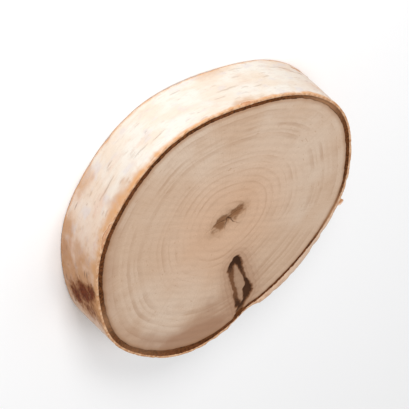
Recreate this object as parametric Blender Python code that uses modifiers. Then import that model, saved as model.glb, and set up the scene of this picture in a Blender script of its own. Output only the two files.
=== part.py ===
"""A slice sawn across a birch branch: pale wood with pith and a knot, dark inner bark, papery outer bark.

It lies flat, +Z out of the face with the knot, with the origin at the middle of its underside.
"""

import math
import random

import bmesh
import bpy
from mathutils import Vector, noise

MM = 0.001

# Driving dimensions
THICKNESS = 13.0 * MM
RING_RADIUS = 35.0 * MM
RING_WIDTH = 0.9 * MM
RING_DEPTH = 0.25 * MM
BARK_WIDTH = 0.8 * MM
RIM_BEVEL = 0.2 * MM

# The bark is thicker on one side: where, how far it spreads in degrees, and how much thicker
THICK_ANGLE = 92.0
THICK_SPREAD = 20.0
THICK_GAIN = 1.4 * MM

# Outline of the ring: lobes round the slice, their height as a share of the radius, and where one peaks
OUTLINE_WAVES = ((3, 0.044, 35.0), (4, 0.008, 35.0), (5, 0.016, 47.0), (6, 0.008, 57.0), (7, 0.008, 5.0))
# Local bumps of the ring, the first a notch at the knot: angle, spread in degrees, and height as a share
OUTLINE_BUMPS = ((73.0, 5.0, -0.022), (88.0, 18.0, 0.063), (134.0, 14.0, 0.018))

# Fineness of the turned body
TURN_STEPS = 168
SIDE_ROWS = 8

# Bark relief
BARK_SWELL = 0.22 * MM
BARK_SWELL_SIZE = 14.0 * MM
RIM_RAGGED = 0.35 * MM
RIM_RAGGED_SIZE = 3.0 * MM
LENTICELS = 46
LENTICEL_HEIGHT = 0.22 * MM
LENTICEL_HALF_RISE = 0.9 * MM
LENTICEL_LENGTHS = (3.0 * MM, 7.0 * MM)
LENTICEL_SEED = 11

# Scar that the branch left in the bark, under the upper rim beside the knot
SCAR_ANGLE = 71.0
SCAR_HALF_SIZES = (1.4 * MM, 4.5 * MM, 5.5 * MM)

# Lips of bark that peel away: angle of the root, length, lowest and highest point, stand-off of the free
# end. A length below 0 runs towards lower angles.
LIP_THICKNESS = 0.6 * MM
LIP_ROOT = 0.45 * MM
LIPS = (
    (26.5, 3.0 * MM, 4.4 * MM, 7.7 * MM, 1.2 * MM),
    (125.0, -3.6 * MM, 8.3 * MM, 12.2 * MM, 1.4 * MM),
    (152.0, -2.8 * MM, 2.3 * MM, 4.7 * MM, 1.0 * MM),
)

# Pith and knot on the faces, before the slice is centred
PITH_LOBES = ((0.0 * MM, 0.0 * MM, 2.0 * MM, 1.5 * MM), (-4.1 * MM, 1.4 * MM, 1.7 * MM, 1.3 * MM))
PITH_DEPTH = 0.45 * MM
CHECK_HALF_WIDTH = 0.18 * MM
CHECK_DEPTH = 0.9 * MM
CHECKS = ((-22.0, 3.0 * MM), (38.0, 2.2 * MM), (101.0, 2.5 * MM), (158.0, 2.7 * MM))
CHECK_CENTRE = (-1.8 * MM, 0.7 * MM)
# The gap round the knot: places along it and the groove's radius there
KNOT_PATH = (
    (3.4 * MM, 15.0 * MM, 0.50 * MM),
    (4.1 * MM, 18.0 * MM, 0.42 * MM),
    (4.8 * MM, 21.5 * MM, 0.36 * MM),
    (5.6 * MM, 25.0 * MM, 0.50 * MM),
    (6.7 * MM, 27.8 * MM, 0.95 * MM),
    (8.7 * MM, 29.0 * MM, 0.70 * MM),
    (10.9 * MM, 29.4 * MM, 0.85 * MM),
    (9.8 * MM, 25.6 * MM, 0.45 * MM),
    (8.4 * MM, 21.6 * MM, 0.40 * MM),
    (7.0 * MM, 18.4 * MM, 0.42 * MM),
    (5.6 * MM, 15.6 * MM, 0.50 * MM),
)
KNOT_EYE = (4.0 * MM, 15.6 * MM, 1.2 * MM, 1.5 * MM, 0.6 * MM)

WOOD_COLOUR = (0.54, 0.37, 0.24, 1.0)
WOOD_ROUGHNESS = 0.75


def outline(angle):
    """Distance of the ring from the middle at an angle, as a share of RING_RADIUS."""
    share = 1.0
    for lobes, height, peak in OUTLINE_WAVES:
        share += height * math.cos(lobes * (angle - math.radians(peak)))
    for middle, spread, height in OUTLINE_BUMPS:
        off_middle = (math.degrees(angle) - middle + 180.0) % 360.0 - 180.0
        share += height * math.exp(-((off_middle / spread) ** 2))
    return share


def bark_width(angle):
    """Width of the papery bark at an angle."""
    off_thick = (math.degrees(angle) - THICK_ANGLE + 180.0) % 360.0 - 180.0
    return BARK_WIDTH + THICK_GAIN * math.exp(-((off_thick / THICK_SPREAD) ** 2))


def edge_point(angle, beyond_ring):
    """A point of the slice's edge in plan, that far outside the middle of the ring."""
    radius = RING_RADIUS * outline(angle) + beyond_ring
    return radius * math.cos(angle), radius * math.sin(angle)


def outline_centre():
    """Middle of the box round the outermost edge."""
    angles = [math.radians(0.5 * step) for step in range(720)]
    points = [edge_point(angle, RING_WIDTH / 2 + bark_width(angle)) for angle in angles]
    xs, ys = zip(*points)
    return (min(xs) + max(xs)) / 2, (min(ys) + max(ys)) / 2


CENTRE = outline_centre()


def smooth_noise(angle, height, size, seed):
    """Smooth noise from -1 to 1 over the bark, which closes on itself round the slice."""
    spot = Vector((math.cos(angle) * RING_RADIUS, math.sin(angle) * RING_RADIUS, height)) / size
    return noise.noise(spot + Vector((0.0, 0.0, seed)))


def make_lenticels():
    """Raised corky dashes that run round the bark: angle, height on the side and half length."""
    draw = random.Random(LENTICEL_SEED)
    dashes = []
    for _ in range(LENTICELS):
        angle = draw.uniform(0.0, 2 * math.pi)
        height = draw.uniform(0.1, 0.9) * THICKNESS
        dashes.append((angle, height, draw.uniform(*LENTICEL_LENGTHS) / 2))
    return dashes


LENTICEL_DASHES = make_lenticels()


def turn_between(angle, other):
    """Signed angle from other to angle, from -pi to pi."""
    return (angle - other + math.pi) % (2 * math.pi) - math.pi


def bark_dent(angle, height):
    """How far the bark's surface lies inside its smooth outer size. Lenticels stand out of the dent."""
    dent = BARK_SWELL * (0.5 - 0.5 * smooth_noise(angle, height, BARK_SWELL_SIZE, 3.7))
    raised = 0.0
    for dash_angle, dash_height, half_length in LENTICEL_DASHES:
        along = turn_between(angle, dash_angle) * RING_RADIUS / half_length
        across = (height - dash_height) / LENTICEL_HALF_RISE
        raised = max(raised, 1.0 - along * along - across * across)
    return dent + LENTICEL_HEIGHT * (1.0 - raised)


def slice_profile():
    """Half section from the middle of the upper face, out and down the bark, to the underside's middle."""
    wood_edge = RING_RADIUS - RING_WIDTH / 2
    bark_inner = RING_RADIUS + RING_WIDTH / 2
    bark_outer = bark_inner + BARK_WIDTH
    upper = [
        (0.0, THICKNESS),
        (wood_edge, THICKNESS),
        (RING_RADIUS, THICKNESS - RING_DEPTH),
        (bark_inner, THICKNESS),
        (bark_outer - RIM_BEVEL, THICKNESS),
    ]
    rise = THICKNESS - 2 * RIM_BEVEL
    side = [(bark_outer, THICKNESS - RIM_BEVEL - rise * row / SIDE_ROWS) for row in range(SIDE_ROWS + 1)]
    lower = [(radius, THICKNESS - height) for radius, height in reversed(upper)]
    return upper + side + lower


def make_mesh_object(name, mesh, collection):
    """Puts a mesh in the scene as a new object."""
    obj = bpy.data.objects.new(name, mesh)
    collection.objects.link(obj)
    return obj


def evaluated_mesh(obj):
    """The object's mesh as it is after its modifiers."""
    graph = bpy.context.evaluated_depsgraph_get()
    return bpy.data.meshes.new_from_object(obj.evaluated_get(graph))


def turned_body(name, collection):
    """The profile turned once round Z."""
    profile = slice_profile()
    mesh = bpy.data.meshes.new(name)
    points = [(radius, 0.0, height) for radius, height in profile]
    mesh.from_pydata(points, [(i, i + 1) for i in range(len(points) - 1)], [])
    guide = make_mesh_object(name + "_profile", mesh, collection)
    screw = guide.modifiers.new("Turn", "SCREW")
    screw.axis = "Z"
    screw.steps = TURN_STEPS
    screw.render_steps = TURN_STEPS
    screw.use_merge_vertices = True
    screw.merge_threshold = 0.00001
    body = make_mesh_object(name, evaluated_mesh(guide), collection)
    bpy.data.objects.remove(guide)
    return body


def grow_outline(mesh):
    """Moves the turned body's points to the grown outline, the bark's relief and the ragged rims."""
    bark_inner = RING_RADIUS + RING_WIDTH / 2
    bark_outer = bark_inner + BARK_WIDTH
    for vertex in mesh.vertices:
        x, y, height = vertex.co
        radius = math.hypot(x, y)
        angle = math.atan2(y, x)
        grown = min(radius, RING_RADIUS) * outline(angle)
        grown += min(max(0.0, radius - RING_RADIUS), RING_WIDTH / 2)
        grown += max(0.0, radius - bark_inner) * bark_width(angle) / BARK_WIDTH
        if radius > bark_outer - 1.5 * RIM_BEVEL:
            grown -= bark_dent(angle, height)
            ragged = RIM_RAGGED * max(0.0, smooth_noise(angle, height, RIM_RAGGED_SIZE, 9.1))
            if height > THICKNESS - 2 * RIM_BEVEL:
                height -= ragged
            elif height < 2 * RIM_BEVEL:
                height += ragged
        vertex.co = (grown * math.cos(angle) - CENTRE[0], grown * math.sin(angle) - CENTRE[1], height)


def bark_lip(name, start, length, low, high, stand_off, collection):
    """A thin curved plate of bark, rooted in the side at one end and standing off at the other."""
    cells = 6
    mesh = bpy.data.meshes.new(name)
    sheet = bmesh.new()
    bmesh.ops.create_grid(sheet, x_segments=cells, y_segments=2, size=0.5)
    for vertex in sheet.verts:
        along = vertex.co.x + 0.5
        across = math.copysign(1.0, length) * vertex.co.y * (1.0 - 0.35 * along * along)
        angle = math.radians(start) + along * length / RING_RADIUS
        beyond = RING_WIDTH / 2 + bark_width(angle) - LIP_ROOT + (LIP_ROOT + stand_off) * along * along
        x, y = edge_point(angle, beyond)
        height = (low + high) / 2 + across * (high - low)
        vertex.co = (x - CENTRE[0], y - CENTRE[1], height)
    sheet.to_mesh(mesh)
    sheet.free()
    lip = make_mesh_object(name, mesh, collection)
    solidify = lip.modifiers.new("Thickness", "SOLIDIFY")
    solidify.thickness = LIP_THICKNESS
    solidify.offset = 0.0
    return lip


def join_lips(body, collection):
    """Joins every bark lip to the body in one union, and removes the loose lips."""
    lips = bpy.data.collections.new("bark_lips")
    collection.children.link(lips)
    for index, (start, length, low, high, stand_off) in enumerate(LIPS):
        bark_lip(f"lip_{index}", start, length, low, high, stand_off, lips)
    union = body.modifiers.new("Lips", "BOOLEAN")
    union.operation = "UNION"
    union.operand_type = "COLLECTION"
    union.collection = lips
    union.solver = "EXACT"
    joined = evaluated_mesh(body)
    body.modifiers.remove(union)
    body.data = joined
    for lip in list(lips.objects):
        bpy.data.objects.remove(lip)
    bpy.data.collections.remove(lips)


def lens_cutter(name, place, half_sizes, turn, collection):
    """A flattened ball centred on a face, which cuts a shallow lens out of it."""
    mesh = bpy.data.meshes.new(name)
    ball = bmesh.new()
    bmesh.ops.create_uvsphere(ball, u_segments=16, v_segments=8, radius=1.0)
    bmesh.ops.scale(ball, vec=half_sizes, verts=ball.verts)
    ball.to_mesh(mesh)
    ball.free()
    cutter = make_mesh_object(name, mesh, collection)
    cutter.location = place
    cutter.rotation_euler = (0.0, 0.0, turn)
    return cutter


def pith_cutters(face, collection):
    """The dark, broken pith and the small drying checks that start from it, on one face."""
    height = THICKNESS if face == "upper" else 0.0
    for index, (x, y, half_length, half_width) in enumerate(PITH_LOBES):
        place = (x - CENTRE[0], y - CENTRE[1], height)
        half_sizes = (half_length, half_width, PITH_DEPTH)
        lens_cutter(f"pith_{face}_{index}", place, half_sizes, 0.4 + index, collection)
    for index, (turn, half_length) in enumerate(CHECKS):
        angle = math.radians(turn)
        x = CHECK_CENTRE[0] + half_length * math.cos(angle) - CENTRE[0]
        y = CHECK_CENTRE[1] + half_length * math.sin(angle) - CENTRE[1]
        half_sizes = (half_length, CHECK_HALF_WIDTH, CHECK_DEPTH)
        lens_cutter(f"check_{face}_{index}", (x, y, height), half_sizes, angle, collection)


def knot_cutters(collection):
    """The bark-lined gap round the knot, and the open eye at the knot's inner end, on the upper face."""
    curve = bpy.data.curves.new("knot_gap", "CURVE")
    curve.dimensions = "3D"
    curve.bevel_depth = 1.0  # each point's own radius then sets the groove's size
    curve.bevel_resolution = 2
    curve.resolution_u = 5
    path = curve.splines.new("BEZIER")
    path.bezier_points.add(len(KNOT_PATH) - 1)
    for point, (x, y, radius) in zip(path.bezier_points, KNOT_PATH):
        point.co = (x - CENTRE[0], y - CENTRE[1], THICKNESS)
        point.radius = radius
        point.handle_left_type = "AUTO"
        point.handle_right_type = "AUTO"
    path.use_cyclic_u = True
    guide = bpy.data.objects.new("knot_gap_path", curve)
    collection.objects.link(guide)
    bpy.context.view_layer.update()
    make_mesh_object("knot_gap", evaluated_mesh(guide), collection)
    bpy.data.objects.remove(guide)
    x, y, half_width, half_length, depth = KNOT_EYE
    place = (x - CENTRE[0], y - CENTRE[1], THICKNESS)
    lens_cutter("knot_eye", place, (half_width, half_length, depth), -0.3, collection)


def scar_cutter(collection):
    """The hollow that the branch left in the bark, where it ran out of the slice."""
    angle = math.radians(SCAR_ANGLE)
    x, y = edge_point(angle, RING_WIDTH / 2 + bark_width(angle))
    place = (x - CENTRE[0], y - CENTRE[1], THICKNESS)
    lens_cutter("branch_scar", place, SCAR_HALF_SIZES, angle, collection)


def wood_material():
    """Pale birch wood, as sawn."""
    material = bpy.data.materials.new("birch_wood")
    material.use_nodes = True
    shader = material.node_tree.nodes["Principled BSDF"]
    shader.inputs["Base Color"].default_value = WOOD_COLOUR
    shader.inputs["Roughness"].default_value = WOOD_ROUGHNESS
    shader.inputs["Metallic"].default_value = 0.0
    return material


def build():
    """Builds the slice and its cutters in an emptied scene."""
    for obj in list(bpy.data.objects):
        bpy.data.objects.remove(obj)
    parts = bpy.data.collections.new("wood_slice")
    cutters = bpy.data.collections.new("cutters")
    bpy.context.scene.collection.children.link(parts)
    bpy.context.scene.collection.children.link(cutters)

    body = turned_body("wood_slice", parts)
    grow_outline(body.data)
    join_lips(body, parts)

    for face in ("upper", "lower"):
        pith_cutters(face, cutters)
    knot_cutters(cutters)
    scar_cutter(cutters)
    for cutter in cutters.objects:
        cutter.hide_render = True
        cutter.display_type = "WIRE"
    cut = body.modifiers.new("Pith and knot", "BOOLEAN")
    cut.operation = "DIFFERENCE"
    cut.operand_type = "COLLECTION"
    cut.collection = cutters
    cut.solver = "EXACT"

    body.data.materials.clear()
    body.data.materials.append(wood_material())
    body.data.shade_smooth()
    body.data.set_sharp_from_angle(angle=math.radians(35))


build()
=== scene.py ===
"""Looks of a slice sawn across a birch branch: sawn wood, dark inner bark and papery outer bark."""

import math
import random

import bpy
import numpy as np
from mathutils import Matrix, Vector, noise


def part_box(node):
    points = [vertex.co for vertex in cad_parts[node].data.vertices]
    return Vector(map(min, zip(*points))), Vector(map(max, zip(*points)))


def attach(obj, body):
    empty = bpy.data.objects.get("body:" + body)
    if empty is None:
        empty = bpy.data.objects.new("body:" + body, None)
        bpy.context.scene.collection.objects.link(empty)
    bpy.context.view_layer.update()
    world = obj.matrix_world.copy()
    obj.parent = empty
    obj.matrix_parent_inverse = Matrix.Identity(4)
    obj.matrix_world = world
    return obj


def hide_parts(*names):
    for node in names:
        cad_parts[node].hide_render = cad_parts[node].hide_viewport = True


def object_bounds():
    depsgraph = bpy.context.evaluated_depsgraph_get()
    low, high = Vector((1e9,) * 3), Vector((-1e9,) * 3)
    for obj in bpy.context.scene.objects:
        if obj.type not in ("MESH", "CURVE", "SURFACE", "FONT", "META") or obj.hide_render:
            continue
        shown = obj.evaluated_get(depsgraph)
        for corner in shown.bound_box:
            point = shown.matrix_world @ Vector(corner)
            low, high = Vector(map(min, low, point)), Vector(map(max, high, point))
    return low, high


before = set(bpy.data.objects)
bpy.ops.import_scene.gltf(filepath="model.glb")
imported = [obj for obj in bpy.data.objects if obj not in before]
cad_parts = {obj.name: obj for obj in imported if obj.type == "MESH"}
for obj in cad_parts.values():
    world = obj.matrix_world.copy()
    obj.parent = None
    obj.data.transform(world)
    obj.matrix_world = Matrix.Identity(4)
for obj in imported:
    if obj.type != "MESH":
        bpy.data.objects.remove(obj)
CAD_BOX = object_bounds()

MM = 0.001

# The slice's own measures, as in its solid
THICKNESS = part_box("wood_slice")[1].z
RING_RADIUS = 35.0 * MM
RING_WIDTH = 0.9 * MM
BARK_WIDTH = 0.8 * MM
# Outline of the ring: lobes round the slice, their height as a share, and the angle where one peaks
OUTLINE_WAVES = (
    (3, 0.044, 35.0), (4, 0.008, 35.0), (5, 0.016, 47.0), (6, 0.008, 57.0), (7, 0.008, 5.0),
)
# Local bumps of the ring: angle, spread in degrees, and height as a share
OUTLINE_BUMPS = ((73.0, 5.0, -0.022), (88.0, 18.0, 0.063), (134.0, 14.0, 0.018))
# The papery bark is thicker on one side: where, how far it spreads in degrees, and how much thicker
THICK_ANGLE = 92.0
THICK_SPREAD = 20.0
THICK_GAIN = 1.4 * MM
BARK_SWELL = 0.22 * MM
BARK_SWELL_SIZE = 14.0 * MM
# The broken pith: middle and half sizes of each lobe, then the drying checks, by heading and length
PITH_LOBES = ((0.0 * MM, 0.0 * MM, 2.0 * MM, 1.5 * MM), (-4.1 * MM, 1.4 * MM, 1.7 * MM, 1.3 * MM))
CHECK_CENTRE = (-1.8 * MM, 0.7 * MM)
CHECKS = ((-22.0, 6.0 * MM), (38.0, 4.4 * MM), (101.0, 5.0 * MM), (158.0, 5.4 * MM))
CHECK_HALF_WIDTH = 0.13 * MM
CHECK_TIP = 0.04 * MM
# The ingrown bark on both sides of the knot: places, half the width there, and how dark it is
KNOT_SIDES = (
    (
        (3.5 * MM, 14.9 * MM, 1.05 * MM, 1.0),
        (3.9 * MM, 17.2 * MM, 0.80 * MM, 0.9),
        (4.8 * MM, 21.4 * MM, 0.45 * MM, 0.6),
        (5.6 * MM, 24.8 * MM, 0.65 * MM, 0.8),
        (6.9 * MM, 27.9 * MM, 1.35 * MM, 1.0),
        (8.9 * MM, 29.6 * MM, 0.90 * MM, 0.75),
        (11.0 * MM, 30.5 * MM, 1.05 * MM, 0.85),
        (12.3 * MM, 32.3 * MM, 1.30 * MM, 0.9),
    ),
    (
        (3.9 * MM, 15.0 * MM, 0.90 * MM, 1.0),
        (5.8 * MM, 16.0 * MM, 0.85 * MM, 0.75),
        (7.0 * MM, 18.6 * MM, 0.65 * MM, 0.48),
        (8.4 * MM, 21.6 * MM, 0.60 * MM, 0.46),
        (9.6 * MM, 25.4 * MM, 0.60 * MM, 0.50),
        (11.0 * MM, 29.6 * MM, 0.85 * MM, 0.8),
    ),
)
# The knot pushes the growth rings outwards: its middle, how stretched and wide the push is, how far
KNOT_MIDDLE = (7.5 * MM, 24.0 * MM)
KNOT_STRETCH = 1.6
KNOT_PUSH_SPREAD = 5.0 * MM
KNOT_PUSH = 1.6 * MM
# How far the stain round the knot's bark spreads
KNOT_STAIN_SPREAD = 3.2 * MM
# The warm patch beside the knot: middle and half sizes. Then those along the ring: angle and half
# width in degrees, strength, and where they begin and are whole on the way out.
WARM_PATCH = (20.0 * MM, 24.0 * MM, 9.5 * MM, 7.0 * MM)
WARM_ALONG_RING = (
    (40.0, 32.0, 1.2, 28.0 * MM, 33.0 * MM),
    (322.0, 28.0, 0.60, 30.0 * MM, 34.0 * MM),
)
# The scar that the branch left in the bark beside the knot
SCAR_ANGLE = 71.0
SCAR_HALF_LENGTH = 4.5 * MM
SCAR_HALF_RISE = 5.5 * MM
SCAR_DEPTH = 1.0 * MM

# The dark ring: where it is narrower, as a share, where it reaches further in, and where it is paler.
# Each has the angle and the spread in degrees first.
RING_NARROWER = ((112.0, 26.0, 0.40), (190.0, 14.0, 0.40))
RING_WIDER = ((44.0, 16.0, 0.80 * MM), (284.0, 44.0, 0.48 * MM))
RING_PALER = ((185.0, 13.0, 0.9), (349.0, 8.0, 0.7), (121.0, 8.0, 1.0), (20.0, 14.0, 0.4))

# Fineness of the meshes
WOOD_TURNS = 400
WOOD_CROWDING = 3.6
WOOD_CROWD_SPREAD = 14.0
HOOP_TURNS = 1100
BARK_ROWS = 72
RING_COLUMNS = 7

SEED = 23


# Shape of the outline


def outline(angle):
    """Distance of the ring from the middle at each angle, as a share of RING_RADIUS."""
    share = 1.0
    for lobes, height, peak in OUTLINE_WAVES:
        share = share + height * np.cos(lobes * (angle - math.radians(peak)))
    for middle, spread, height in OUTLINE_BUMPS:
        off_middle = (np.degrees(angle) - middle + 180.0) % 360.0 - 180.0
        share = share + height * np.exp(-((off_middle / spread) ** 2))
    return share


def bark_edge(angle):
    """Distance of the papery bark's smooth outer size from the middle at each angle."""
    off_thick = (np.degrees(angle) - THICK_ANGLE + 180.0) % 360.0 - 180.0
    width = BARK_WIDTH + THICK_GAIN * np.exp(-((off_thick / THICK_SPREAD) ** 2))
    return RING_RADIUS * outline(angle) + RING_WIDTH / 2 + width


def outline_centre():
    """Middle of the box round the outermost edge."""
    angle = np.radians(0.5 * np.arange(720))
    radius = bark_edge(angle)
    x, y = radius * np.cos(angle), radius * np.sin(angle)
    return np.array([(x.min() + x.max()) / 2, (y.min() + y.max()) / 2])


CENTRE = outline_centre()


def noise_at(points, size, seed, octaves=1):
    """Smooth noise from about -1 to 1 at each point of an array whose last axis is x, y, z."""
    spots = (points / size + seed).reshape(-1, 3).tolist()
    values = [noise.fractal(spot, 1.0, 2.0, octaves) for spot in spots]
    return np.array(values).reshape(points.shape[:-1])


def on_rim(angle, height):
    """Points of a plain cylinder at each angle and height, where the bark's noise is read."""
    x, y = RING_RADIUS * np.cos(angle), RING_RADIUS * np.sin(angle)
    return np.stack([x, y, np.broadcast_to(height, np.shape(x))], axis=-1)


def smooth_step(low, high, value):
    """0 below low, 1 above high, with a soft rise between."""
    t = np.clip((value - low) / (high - low), 0.0, 1.0)
    return t * t * (3.0 - 2.0 * t)


def turn_between(angle, other):
    """Signed angle from other to angle, from -pi to pi."""
    return (angle - other + math.pi) % (2 * math.pi) - math.pi


def bump_round(angle, middle, half_width):
    """A soft bump from 0 to 1 round one angle. The middle and the half width are in degrees."""
    return np.exp(-((turn_between(angle, math.radians(middle)) / math.radians(half_width)) ** 2))


def bumps_round(angle, bumps):
    """The sum of soft bumps. Each is (middle, half width, height)."""
    return sum(height * bump_round(angle, middle, half_width) for middle, half_width, height in bumps)


def ring_width_inside(angle):
    """How far the dark ring reaches inwards from its middle. It is widest beside the knot."""
    wavy = noise_at(on_rim(angle, 0.0 * angle), 2.4 * MM, 4.2, 3)
    share = 1.0 + 0.35 * wavy - bumps_round(angle, RING_NARROWER)
    return RING_WIDTH / 2 * share + bumps_round(angle, RING_WIDER)


def wood_edge(angle):
    return RING_RADIUS * outline(angle) - ring_width_inside(angle)


# Meshes


def grid_object(name, points, attributes, material, closed=False, first_pole=None, last_pole=None):
    """A mesh of rings of points, joined to the next ring and round the slice.

    points has a ring in each row. A closed grid joins its last ring to its first; otherwise each end
    has a pole, or stays open where none is given.
    """
    rings, turns = points.shape[:2]
    vertices = points.reshape(-1, 3)
    ring_pairs = rings if closed else rings - 1
    ring, turn = np.meshgrid(np.arange(ring_pairs), np.arange(turns), indexing="ij")
    after = (turn + 1) % turns
    below = (ring + 1) % rings
    this_row, next_row = ring * turns, below * turns
    quads = np.stack([this_row + turn, next_row + turn, next_row + after, this_row + after], -1)
    faces = quads.reshape(-1, 4).tolist()
    values = {key: field.reshape(-1) for key, field in attributes.items()}
    around = np.arange(turns)
    for pole, first in ((first_pole, 0), (last_pole, (rings - 1) * turns)):
        if pole is None:
            continue
        index = len(vertices)
        vertices = np.vstack([vertices, pole])
        fan = [(index, first + a, first + (a + 1) % turns) for a in around.tolist()]
        faces += fan if first == 0 else [face[::-1] for face in fan]
        values = {
            key: np.append(field, field[first:first + turns].mean()) for key, field in values.items()
        }
    mesh = bpy.data.meshes.new(name)
    mesh.from_pydata(vertices.tolist(), [], faces)
    for key, field in values.items():
        mesh.attributes.new(key, "FLOAT", "POINT").data.foreach_set("value", field.astype(np.float32))
    mesh.materials.append(material)
    mesh.shade_smooth()
    piece = bpy.data.objects.new(name, mesh)
    bpy.context.scene.collection.objects.link(piece)
    return piece


def graded_angles(count, crowd_at, crowd_width, crowd_gain):
    """Angles round the slice, closer together near one of them."""
    fine = np.linspace(0.0, 2 * math.pi, 7201)
    density = 1.0 + crowd_gain * np.exp(-((turn_between(fine, crowd_at) / crowd_width) ** 2))
    total = np.concatenate([[0.0], np.cumsum((density[1:] + density[:-1]) / 2)])
    return np.interp(np.arange(count) * total[-1] / count, total, fine)


def smooth_curve(stops, steps_each):
    """A smooth curve through the stops of an open path, as many short steps."""
    knots = np.array(stops)
    knots = np.vstack([2 * knots[0] - knots[1], knots, 2 * knots[-1] - knots[-2]])
    t = (np.arange(steps_each) / steps_each)[None, :, None]
    a, b, c, d = (knots[k:len(knots) - 3 + k, None, :] for k in range(4))
    curve = b + 0.5 * t * (c - a + t * (2 * a - 5 * b + 4 * c - d + t * (3 * (b - c) + d - a)))
    return curve.reshape(-1, knots.shape[1])


def nearness_to_curve(x, y, curve):
    """For each place: its gap to a curve in half widths and in metres, and the darkness there."""
    share = np.full(x.shape, 99.0)
    metres = np.full(x.shape, 1.0)
    darkness = np.zeros(x.shape)
    for at_x, at_y, half_width, dark in curve:
        gap = np.hypot(x - at_x, y - at_y)
        closer = gap / half_width < share
        share = np.where(closer, gap / half_width, share)
        darkness = np.where(closer, dark, darkness)
        metres = np.minimum(metres, gap)
    return share, metres, darkness


def inside_outline(x, y, corners):
    """True at each place that the closed outline goes round."""
    inside = np.zeros(x.shape, bool)
    for (ax, ay), (bx, by) in zip(corners, np.roll(corners, -1, 0)):
        crosses = (ay > y) != (by > y)
        at = ax + (y - ay) * (bx - ax) / (by - ay if by != ay else 1e-12)
        inside ^= crosses & (x < at)
    return inside


def distance_to_segment(x, y, start, end):
    """Distance from each place to a line between two points, and the share of the way along it."""
    (ax, ay), (bx, by) = start, end
    length_squared = (bx - ax) ** 2 + (by - ay) ** 2
    along = np.clip(((x - ax) * (bx - ax) + (y - ay) * (by - ay)) / length_squared, 0.0, 1.0)
    return np.hypot(x - ax - along * (bx - ax), y - ay - along * (by - ay)), along


# Features of the cut faces, in plan, before the slice is centred


def pith_marks(x, y):
    """How strongly each place belongs to the broken pith, its brown halo and the drying checks."""
    spots = np.stack([x, y, 0 * x], -1)
    wobble = noise_at(spots, 1.3 * MM, 7.1, 3)
    pith = np.zeros_like(x)
    halo = np.zeros_like(x)
    for px, py, half_length, half_width in PITH_LOBES:
        reach = np.hypot((x - px) / half_length, (y - py) / half_width) + 0.55 * wobble
        pith = np.maximum(pith, 1.0 - smooth_step(0.4, 1.75, reach))
        halo = np.maximum(halo, np.exp(-((np.maximum(reach, 0.0) / 1.75) ** 2)))
    between_lobes, _ = distance_to_segment(x, y, PITH_LOBES[0][:2], PITH_LOBES[1][:2])
    pith = np.maximum(pith, 0.75 * np.exp(-((between_lobes / (0.9 * MM)) ** 2)))
    checks = np.zeros_like(x)
    bend = noise_at(spots, 2.2 * MM, 15.0, 2)
    for turn, length in CHECKS:
        heading = math.radians(turn)
        end_x = CHECK_CENTRE[0] + length * math.cos(heading)
        end_y = CHECK_CENTRE[1] + length * math.sin(heading)
        bent_x, bent_y = x + 0.5 * MM * bend, y + 0.3 * MM * bend
        gap, along = distance_to_segment(bent_x, bent_y, CHECK_CENTRE, (end_x, end_y))
        half_width = CHECK_HALF_WIDTH * (1.0 - along) + CHECK_TIP
        checks = np.maximum(checks, np.exp(-((gap / half_width) ** 2)) * (1.0 - 0.7 * along))
    return pith, halo, checks


def knot_marks(x, y):
    """How strongly each place belongs to the knot's bark, to the knot, and to the stain round it.

    The last field is the distance to that bark, for the grain that bends round it.
    """
    spots = np.stack([x, y, 0 * x], -1)
    wobble = noise_at(spots, 2.2 * MM, 1.3, 2)
    ragged = noise_at(spots, 1.1 * MM, 26.7, 2)
    sides = [smooth_curve(side, 14) for side in KNOT_SIDES]
    line = np.zeros_like(x)
    metres = np.full_like(x, 1.0)
    for side in sides:
        share, gap, dark = nearness_to_curve(x + 0.30 * MM * wobble, y - 0.22 * MM * wobble, side)
        line = np.maximum(line, dark * (1.0 - smooth_step(0.35, 1.45, share + 0.26 * ragged)))
        metres = np.minimum(metres, gap)
    corners = np.vstack([sides[0][:, :2], sides[1][::-1, :2]])
    inside = inside_outline(x, y, corners).astype(float)
    stain = np.exp(-((metres / KNOT_STAIN_SPREAD) ** 2)) * (1.0 - 0.4 * inside)
    return line, inside, stain, metres


def warm_patches(x, y, from_pith):
    """Soft red-brown patches: one beside the knot, and one along the dark ring there."""
    spots = np.stack([x, y, 0 * x], -1)
    wobble = noise_at(spots, 6.0 * MM, 31.0, 3)
    middle_x, middle_y, half_length, half_width = WARM_PATCH
    reach = np.hypot((x - middle_x) / half_length, (y - middle_y) / half_width) + 0.45 * wobble
    beside_knot = 0.75 * (1.0 - smooth_step(0.2, 1.3, reach))
    angle = np.arctan2(y, x)
    along_ring = np.zeros_like(x)
    for middle, spread, strength, start, whole in WARM_ALONG_RING:
        outwards = smooth_step(start, whole, from_pith)
        along_ring += strength * bump_round(angle, middle, spread) * outwards
    return np.clip(beside_knot + along_ring * (0.85 + 0.5 * wobble), 0.0, 1.0)


def saw_marks(x, y, heading, pitch):
    """Faint parallel ridges of the saw, from 0 to 1."""
    across = x * math.cos(heading) + y * math.sin(heading)
    along = -x * math.sin(heading) + y * math.cos(heading)
    drift = noise_at(np.stack([x, y, 0 * x], -1), 9.0 * MM, 5.5)
    phase = (across + along * along / (900.0 * MM) + 0.5 * MM * drift) / pitch
    return 0.5 + 0.5 * np.sin(2 * math.pi * phase)


def shares_of_face(steps):
    """Rows from the pith to the edge. Each step is (from mm, to mm, spacing mm)."""
    stops = [np.arange(low, high - 1e-6, spacing) for low, high, spacing in steps]
    return np.concatenate(stops)[1:] * MM / RING_RADIUS


def face_grid(shares, angle):
    """Places in plan from the pith, each row the same share of the way to the wood's edge."""
    pole = np.array(CHECK_CENTRE)
    edge = wood_edge(angle)
    edge_x, edge_y = edge * np.cos(angle), edge * np.sin(angle)
    x = pole[0] + shares[:, None] * (edge_x - pole[0])[None, :]
    y = pole[1] + shares[:, None] * (edge_y - pole[1])[None, :]
    return x, y


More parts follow.
